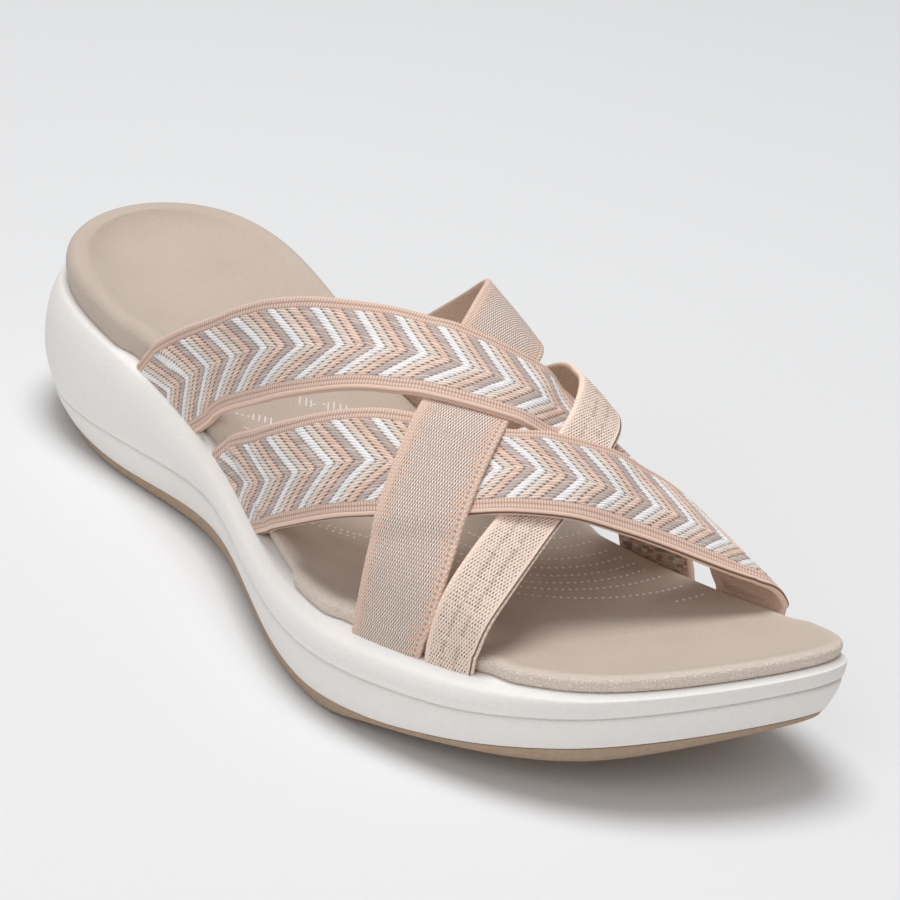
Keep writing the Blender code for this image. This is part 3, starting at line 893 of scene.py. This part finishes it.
def new_tree(name, inputs, outcome):
    """A tree with named inputs and one outcome: its bench, and its inputs as wires."""
    tree = bpy.data.node_groups.new(name, "GeometryNodeTree")
    for label, kind in inputs.items():
        tree.interface.new_socket(label, in_out="INPUT", socket_type="NodeSocket" + kind)
    tree.interface.new_socket(outcome, in_out="OUTPUT", socket_type="NodeSocketGeometry")
    bench, entry = Bench(tree), tree.nodes.new("NodeGroupInput")
    return bench, {socket.name: Wire(bench, socket) for socket in entry.outputs if socket.name}


def close_tree(bench, geometry, finish):
    """Ends a tree in Realize Instances and Set Material."""
    whole = bench.add("GeometryNodeRealizeInstances", {}, {"Geometry": geometry})
    dressed = bench.add("GeometryNodeSetMaterial", {}, {"Geometry": whole, "Material": finish})
    bench.feed(dressed, bench.tree.nodes.new("NodeGroupOutput").inputs[0])
    return bench.tree


def relief_tree(name, height_of):
    """Tree that moves the outer skin of a band by a height in millimetres."""
    bench, given = new_tree(name, {"Band": "Geometry", "Relief": "Float", "Finish": "Material"},
                            "Band")
    along, across, edge, skin = (
        bench.add("GeometryNodeInputNamedAttribute", {"data_type": "FLOAT"}, {"Name": label})
        for label in MEASURES)
    height = height_of(along, across, edge) * skin * given["Relief"] * MM
    normal = bench.add("GeometryNodeInputNormal")
    offset = bench.add("ShaderNodeVectorMath", {"operation": "SCALE"}, {0: normal, "Scale": height})
    moved = bench.add("GeometryNodeSetPosition", {}, {"Geometry": given["Band"], "Offset": offset})
    return close_tree(bench, moved, given["Finish"])


def grow(piece, tree, values):
    """Runs a tree on a piece and keeps the result as a plain mesh."""
    modifier = piece.modifiers.new(tree.name, "NODES")
    modifier.node_group = tree
    for item in tree.interface.items_tree:
        if item.in_out == "INPUT" and item.name in values:
            modifier[item.identifier] = values[item.name]
    depsgraph = bpy.context.evaluated_depsgraph_get()
    mesh = bpy.data.meshes.new_from_object(piece.evaluated_get(depsgraph), depsgraph=depsgraph,
                                           preserve_all_data_layers=True)
    piece.modifiers.remove(modifier)
    piece.data = mesh
    mesh.name = piece.name
    print(piece.name, "grown by", tree.name, ":", len(mesh.polygons), "faces")
    return piece


CHEVRON_TREE = relief_tree("chevron_relief", chevron_height)
print(CHEVRON_TREE.name, "has", len(CHEVRON_TREE.nodes), "nodes")

# %% [markdown]
# ## Finish of the chevron straps
# The colour follows the rows by a ramp of hard stops. Where rows and stitches meet the yarn dips,
# and shade is painted there. A highlight is painted on the middle of each stitch, and every stitch
# is a shade lighter or darker than the next. The back of the rear strap shows the loose yarns of
# the weave; the front strap's back is a plain lining.

# %% Yarns and backs
WHITE, CREAM, PEACH, TAUPE = (paint(248, 246, 245), paint(240, 223, 209), paint(238, 205, 187),
                              paint(199, 182, 175))
# The brown is painted shade in the dips, folds, openings and needle holes of the straps.
PINK, SHADE_BROWN = paint(240, 212, 195), paint(92, 68, 58)
FIBRE = 3000.0              # scale of the fuzz of single fibres
FACE_FROM = 0.05            # the face of a strap begins at this share of the outer skin
RIB, FLOAT_LONG, FLOAT_WIDE = 0.7, 0.8, 1.7     # ribs of the lining, floats of the loose yarns


def new_elastic(name, roughness):
    """A matt finish with a little sheen, and the measures that its weave follows."""
    finish = new_finish(name, roughness, Specular_IOR_Level=0.2, Sheen_Weight=0.08)
    return *finish, [finish[1].add("ShaderNodeAttribute", {"attribute_name": label}, out="Fac")
                     for label in MEASURES]


def lining(bench, along, across):
    """Plain back of a strap: fine ribs across, a little uneven, with painted light and shade on
    each rib.
    """
    ribs = (along / RIB).part().hump(0.5, 0.55)
    # The rib hump is painted light and shade; the noise is uneven tone.
    return bench.shade(paint(226, 197, 176), 0.72 + ribs * 0.2 + bench.noise(900.0) * 0.2)


def loose_yarns(bench, along, across):
    """Mottled back of a woven pattern: short floats of all its yarns, each with painted shade at
    its ends.
    """
    row = along / FLOAT_LONG
    cell = bench.chance(row.whole(), (across / FLOAT_WIDE + row.whole() * 0.37).whole(), 5.0)
    stops = ((0.0, paint(164, 140, 125)), (0.25, paint(204, 182, 164)), (0.5, paint(214, 182, 162)),
             (0.75, paint(178, 156, 141)), (0.9, paint(224, 212, 202)))
    yarn = bench.add("ShaderNodeValToRGB", {"stops": stops}, {0: cell})
    # Painted shade at the ends of each float, lighter in its middle.
    return bench.shade(yarn, 0.7 + row.part().hump(0.5, 0.55) * 0.35)


def fold_shade(across, skin):
    """Painted shade in the crease on the turn of the front lip, where a strap's back layer meets
    its face.
    """
    return (across > 0.0) * skin.hump(0.66, 0.24)


print("yarns: white, cream, peach, taupe and pink")

# %% Chevron elastic
def chevron_colour(bench, along, across):
    """Colour of the rows of stitches, with painted shade and highlights, and the bulge of the
    stitches.
    """
    lane, row, stitch, number = chevron_rows(along, across)
    cell = bench.chance(number, ((along + abs(across) * SLOPE) / ROW).whole(), across > 0.0)
    stops = tuple(zip((0.0, 0.25, 0.5, 0.75), (WHITE, CREAM, PEACH, TAUPE)))
    colour = bench.add("ShaderNodeValToRGB", {"stops": stops}, {0: lane / 4.0})
    # A weight for each row: how strong its pale flecks and its painted shade are.
    fleck_and_shade_weight = 0.55 + (lane > 1.0) * (lane < 3.0) * 0.45
    colour = bench.mix((cell > 0.65) * fleck_and_shade_weight * 0.4, colour, paint(240, 218, 204))
    # Painted shade where the yarn dips between rows and between stitches.
    gap, end = 1.0 - row ** 2.0, 1.0 - stitch ** 2.0
    dip_shade = gap ** 4.0 * 0.45 + (gap * end).ease(0.08, 0.45) * (0.55 + cell * 0.5) + end ** 2.0 * 0.42
    colour = bench.mix((dip_shade * fleck_and_shade_weight).least(0.9), colour, SHADE_BROWN)
    # Each stitch gets a random tone, and a painted highlight on its middle.
    colour = bench.shade(colour, 0.775 + cell * 0.18 + row * stitch * 0.22)
    return colour, stitch * row


def chevron_finish(name, seam, back_of):
    material, bench, shader, (along, across, edge, skin) = new_elastic(name, 0.85)
    colour, bulge = chevron_colour(bench, along, across)
    beyond, loops = selvedge_loops(along, across, edge)
    # Painted shade between the pink loops of the selvedge, with plain pink on the loops.
    border = bench.mix(0.1 + loops ** 1.8 * 0.9, paint(156, 111, 94), PINK)
    # Painted shade in the fold on the turn of the front lip.
    lip = bench.mix(fold_shade(across, skin) * seam, paint(238, 205, 186), SHADE_BROWN)
    border = bench.mix((beyond < 0.0).most(edge < 0.3), border, lip)
    patterned = past_selvedge(across, edge) > 0.0
    face = bench.mix(patterned, border, colour)
    turned = (skin > FACE_FROM).most((across > 0.0) * (edge < 0.5))
    colour = bench.mix(turned, back_of(bench, along, across), face)
    dress(bench, shader, colour, bulge * patterned + bench.noise(FIBRE) * 0.5, 0.15)
    return material


# seam sets how strong the painted shade in the fold of the front lip is.
for name, seam, back_of in (("rear_chevron", 0.3, loose_yarns), ("front_chevron", 0.9, lining)):
    finish = chevron_finish(name + "_elastic", seam, back_of)
    grow(bands[name], CHEVRON_TREE, {"Relief": 1.0, "Finish": finish})

# %% [markdown]
# ## The plain straps
# The broad strap is a heather knit: pale slanted stitches stand in courses on a taupe ground, and
# the pink edges run into it in uneven teeth. It has a row of needle holes along the front edge.
# The narrow strap is a pink knit with two faint lines of grey stitches and a fold along the front
# edge. Dark shade is painted into the needle holes, the openings between stitches and the fold,
# and a highlight is painted on the tops of the pink stitches.

# %% Measures of the plain straps
BROAD, NARROW = (0.84, 0.57), (0.78, 0.66)      # spacing of the stitches along and across
LEAN = 0.3                                      # how far a stitch slants to the front edge


def knit(along, across, spacing, shift=0.0, slim=1.0):
    """Slanted stitches in staggered courses: their bulge and their numbers."""
    row = along / spacing[0] + shift * 0.1
    column = across / spacing[1] + row.whole() * 0.5 + shift
    a, b = column.part() - 0.5, row.part() - 0.5
    reach = ((a - b * LEAN) * (slim / 0.34)) ** 2.0 + (b * (slim / 0.52)) ** 2.0
    return (1.0 - reach).most(0.0) ** 0.5, row.whole(), column.whole()


def plain_height(spacing):
    def height(along, across, edge):
        course = (along / spacing[0]).part().hump(0.5, 0.55)
        return course * (0.05 + edge.hump(0.3, 0.7) * 0.09)
    return height


BROAD_TREE = relief_tree("broad_relief", plain_height(BROAD))
NARROW_TREE = relief_tree("narrow_relief", plain_height(NARROW))
print("stitches of", BROAD, "and", NARROW, "mm")

# %% Heather and pink elastic
HOLE_STEP, HOLE_IN, HOLE_HALF = 1.25, 1.3, 0.4      # needle holes: spacing, distance in, half width
TEETH, TEETH_IN, TEETH_DEEP = 2.9, 1.9, 1.3         # teeth of the pink edge: length, start, depth
GREY_LINE, GREY_HALF = 1.6, 0.42                    # grey lines: place across, and half width
SLIT_SHIFT = 0.46                                   # the slits lie this far beside the stitches


# Painted shade in the needle holes along the front edge.
def needle_hole_shade(along, across, edge):
    spots = ((along / HOLE_STEP).part() - 0.5) ** 2.0 * 9.0 + ((edge - HOLE_IN) / HOLE_HALF) ** 2.0
    return (1.0 - spots).most(0.0) * (across > 0.0)


def heather(bench, along, across, edge):
    """Face of the broad strap and the bulge of its stitches."""
    bulge, row, column = knit(along, across, BROAD)
    cell, side = bench.chance(row, column, 0.0), across > 0.0
    ground = bench.mix(cell, paint(202, 172, 158), paint(214, 189, 176))
    grey = bench.mix(bulge.ease(0.15, 0.75) * (0.6 + cell * 0.4), ground, paint(255, 244, 232))
    # Pink stitches: painted light on their tops, painted shade between them.
    pink = bench.mix(bulge.ease(0.1, 0.8), paint(224, 190, 172), paint(246, 220, 202))
    block = ((along / TEETH).part() > 0.5) * TEETH_DEEP
    uneven = bench.chance((along / (TEETH / 2.0)).whole(), side, 3.0) * 0.6
    reach = block + uneven + bench.chance(row, side, 7.0) * 0.5
    face = bench.mix(edge > (TEETH_IN + reach), pink, grey)
    # Painted shade in the openings between stitches and in the needle holes.
    slit, _, _ = knit(along, across, BROAD, SLIT_SHIFT, 1.4)
    opening_shade = slit.ease(0.1, 0.9) * (0.3 + cell * 0.7) * edge.ease(1.5, 2.2)
    face = bench.mix(opening_shade.most(needle_hole_shade(along, across, edge) * 0.55), face, SHADE_BROWN)
    return bench.mix(edge.hump(0.2, 0.5) * 0.4, face, paint(234, 200, 180)), bulge


def pink_knit(bench, along, across, edge):
    """Face of the narrow strap and the bulge of its stitches."""
    bulge, row, column = knit(along, across, NARROW)
    cell = bench.chance(row, column, 1.0)
    # Painted light on the tops of the stitches, painted shade between them.
    pink = bench.mix(bulge.ease(0.0, 0.7), paint(255, 220, 199), paint(255, 241, 227))
    grey = (abs(across).hump(GREY_LINE, GREY_HALF) > 0.0) * (cell > 0.35)
    face = bench.mix(grey * 0.35, pink, paint(176, 166, 160))
    # Painted shade in the openings between stitches.
    slit, _, _ = knit(along, across, NARROW, SLIT_SHIFT, 1.2)
    opening_shade = slit.ease(0.1, 0.9) * (0.35 + cell * 0.6) * edge.ease(1.0, 1.6)
    face = bench.mix(opening_shade, face, SHADE_BROWN)
    # Painted shade along the fold of the front edge.
    return bench.mix((across > 0.0) * edge.hump(0.55, 0.22) * 0.9, face, SHADE_BROWN), bulge


def plain_finish(name, face_of):
    material, bench, shader, (along, across, edge, skin) = new_elastic(name, 0.88)
    face, bulge = face_of(bench, along, across, edge)
    colour = bench.mix(skin > FACE_FROM, lining(bench, along, across), face)
    dress(bench, shader, colour, bulge + bench.noise(FIBRE) * 0.4, 0.1)
    return material


for name, tree, finish in (("broad_plain", BROAD_TREE, plain_finish("heather_elastic", heather)),
                           ("narrow_plain", NARROW_TREE, plain_finish("pink_elastic", pink_knit))):
    grow(bands[name], tree, {"Relief": 1.0, "Finish": finish})

# %% [markdown]
# ## Dots on the footbed
# Rows of small pale dots are printed across the forefoot in arcs, with a few short strokes of dots
# and some dashes behind them. A line follows each arc or stroke on the footbed's surface, and
# Geometry Nodes put a flat dome at even steps along it.

# %% Lines of the print
BED_SIDES = bed_rim[:SOLE_ROWS + 1], np.vstack([bed_rim[:1], bed_rim[:SOLE_ROWS - 1:-1]])
PRINT_MARGIN = 0.8          # the print keeps this far from the rim
SHORTEST = 4                # a line with fewer points is left out


def rim_at(x, axis):
    """The rim's y, axis 1, or z, axis 2, at x on the outer and on the inner side."""
    return [np.interp(x, side[:, 0], side[:, axis]) for side in BED_SIDES]


def bed_height(x, y):
    """Height of the footbed's surface at a place inside its rim."""
    low, high = rim_at(x, 1)
    share = np.clip((y - low) / (high - low), 0.0, 1.0)
    row_share = np.arccos(np.clip(1.0 - 2.0 * x / SOLE_TABLE[-1, 0], -1.0, 1.0)) / np.pi
    outer, inner = rim_at(x, 2)
    return outer * (1 - share) + inner * share - hollow_depth(x, share, row_share)


def on_bed(x, y):
    """Lines of the print on the footbed, cut where they would run onto the rim."""
    low, high = rim_at(x, 1)
    inside = np.flatnonzero((y > low + PRINT_MARGIN) & (y < high - PRINT_MARGIN))
    runs = np.split(inside, np.flatnonzero(np.diff(inside) > 1) + 1)
    return [np.column_stack([x, y, bed_height(x, y)])[run] for run in runs if len(run) >= SHORTEST]


print("the print keeps", PRINT_MARGIN, "mm from the rim")

# %% Dotted arcs, strokes and dashes
ARC_CENTRE = (155.6, 18.0)
ARC_RADII = (15.0, 19.8, 25.2, 29.5, 33.4, 37.0, 41.4, 47.6, 53.4)
ARC_TURN, LAST_ARC_TURN = (-85.0, 35.0), (-8.0, 35.0)       # degrees
WIDE_ARCS, WIDE_SHIFT = (37.0, 47.6), 6.0       # over these radii the centre moves inwards
STROKES = (((91.2, 91.6), (-20.6, -17.6)), ((96.3, 98.1), (-25.0, -22.0)),
           ((89.8, 90.6), (1.6, 3.8)), ((139.0, 148.0), (-31.0, -26.0)),
           ((141.0, 150.0), (-28.0, -22.5)))
DASHES = ((86.0, 0.2), (87.1, 1.2), (88.0, 2.0), (90.6, 5.0), (91.2, 6.2), (92.5, 7.1), (93.8, 7.9),
          (90.5, -15.5), (91.0, -14.2), (91.6, -13.0), (92.3, -11.8))
DASH_RUN = (2.4, -1.7)
ARC_POINTS, STROKE_POINTS, DASH_POINTS = 150, 30, 5

arcs, dashes = [], []
for radius in ARC_RADII:
    turns = LAST_ARC_TURN if radius == ARC_RADII[-1] else ARC_TURN
    turn = np.radians(np.linspace(*turns, ARC_POINTS))
    middle_y = ARC_CENTRE[1] + WIDE_SHIFT * smooth_step(*WIDE_ARCS, radius)
    arcs += on_bed(ARC_CENTRE[0] + radius * np.cos(turn), middle_y + radius * np.sin(turn))
for x, y in STROKES:
    arcs += on_bed(np.linspace(*x, STROKE_POINTS), np.linspace(*y, STROKE_POINTS))
for x, y in DASHES:
    dashes += on_bed(np.linspace(x, x + DASH_RUN[0], DASH_POINTS),
                     np.linspace(y, y + DASH_RUN[1], DASH_POINTS))
print("printed lines:", len(arcs), "dotted,", len(dashes), "dashes")

# %% Geometry Nodes: dots along the lines
PRINT_HEIGHT = 0.3          # height of a whole dot, half of which is under the surface
DOT_SEGMENTS, DOT_RINGS = 8, 5


def line_piece(name, lines):
    edges, first = [], 0
    for line in lines:
        edges += [(first + i, first + i + 1) for i in range(len(line) - 1)]
        first += len(line)
    return new_mesh(name, to_frame(np.vstack(lines)), edges, [])


def dot_tree():
    sizes = dict.fromkeys(("Spacing", "Length", "Width", "Height"), "Float")
    bench, given = new_tree("printed_dots", {"Lines": "Geometry", **sizes, "Finish": "Material"},
                            "Dots")
    curve = bench.add("GeometryNodeMeshToCurve", {}, {"Mesh": given["Lines"]})
    points = bench.add("GeometryNodeResampleCurve", {"mode": "LENGTH"},
                       {"Curve": curve, "Length": given["Spacing"]})
    turn = bench.add("FunctionNodeAlignRotationToVector", {"axis": "X", "pivot_axis": "Z"},
                     {"Vector": bench.add("GeometryNodeInputTangent")})
    dome = bench.add("GeometryNodeMeshUVSphere", {},
                     {"Segments": DOT_SEGMENTS, "Rings": DOT_RINGS, "Radius": 0.5})
    dome = bench.add("GeometryNodeSetShadeSmooth", {}, {"Geometry": dome})
    size = bench.add("ShaderNodeCombineXYZ", {},
                     {0: given["Length"], 1: given["Width"], 2: given["Height"]})
    dots = bench.add("GeometryNodeInstanceOnPoints", {},
                     {"Points": points, "Instance": dome, "Rotation": turn, "Scale": size})
    return close_tree(bench, dots, given["Finish"])


def ink_finish():
    material, bench, shader = new_finish("pale_ink", 0.6, Specular_IOR_Level=0.3)
    dress(bench, shader, bench.mix(bench.noise(800.0), paint(240, 236, 231), paint(250, 248, 246)))
    return material


DOT_TREE, INK = dot_tree(), ink_finish()
prints = [grow(line_piece(name, lines), DOT_TREE,
               {"Spacing": spacing * MM, "Length": length * MM, "Width": width * MM,
                "Height": PRINT_HEIGHT * MM, "Finish": INK})
          for name, lines, spacing, length, width in (("printed_dots", arcs, 1.5, 0.75, 0.75),
                                                      ("printed_dashes", dashes, 0.4, 0.6, 0.45))]

# %% [markdown]
# ## Riding and replacing
# The sandal has no joint, so every piece rides on the one body. Each skin stands for the CAD solid
# that it covers; the four straps together stand for the upper.

# %% Frame calls
for piece, node in ((outsole, "outsole"), (midsole, "midsole"), (footbed, "footbed"),
                    *((band, "upper") for band in bands.values())):
    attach(piece, "root")
    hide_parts(node)
for print_piece in prints:
    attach(print_piece, "root")

# %% [markdown]
# ## Floor and light
# A plain pale floor, a soft light from above and a weaker, larger one from the front, as in a
# catalogue picture.

# %% Stage
FLOOR_HALF = 3.0
ROOM_COLOUR, ROOM_STRENGTH = (0.95, 0.97, 1.0, 1.0), 0.36

corners = np.array(((-1, -1, 0), (1, -1, 0), (1, 1, 0), (-1, 1, 0))) * FLOOR_HALF
floor = new_mesh("floor", corners, [], [(0, 1, 2, 3)])
paper, bench, shader = new_finish("pale_paper", 0.9, Specular_IOR_Level=0.1)
dress(bench, shader, bench.mix(bench.noise(3.0), paint(232, 232, 232), paint(235, 235, 235)))
floor.data.materials.append(paper)

world = bpy.data.worlds.new("soft_room")
world.use_nodes = True
background = world.node_tree.nodes["Background"].inputs
background["Color"].default_value, background["Strength"].default_value = ROOM_COLOUR, ROOM_STRENGTH
bpy.context.scene.world = world


def soft_light(name, place, size, power):
    data = bpy.data.lights.new(name, "AREA")
    data.shape, data.size, data.energy = "DISK", size, power
    light = new_object(name, data)
    light.location = place
    light.rotation_euler = (-Vector(place)).to_track_quat("-Z", "Y").to_euler()


soft_light("overhead", (-0.05, 0.0, 1.3), 0.7, 10.5)
soft_light("front", (0.55, -1.05, 0.95), 1.2, 4.3)
bpy.context.scene.view_settings.view_transform = "Standard"
print("lights:", len(bpy.data.lights))
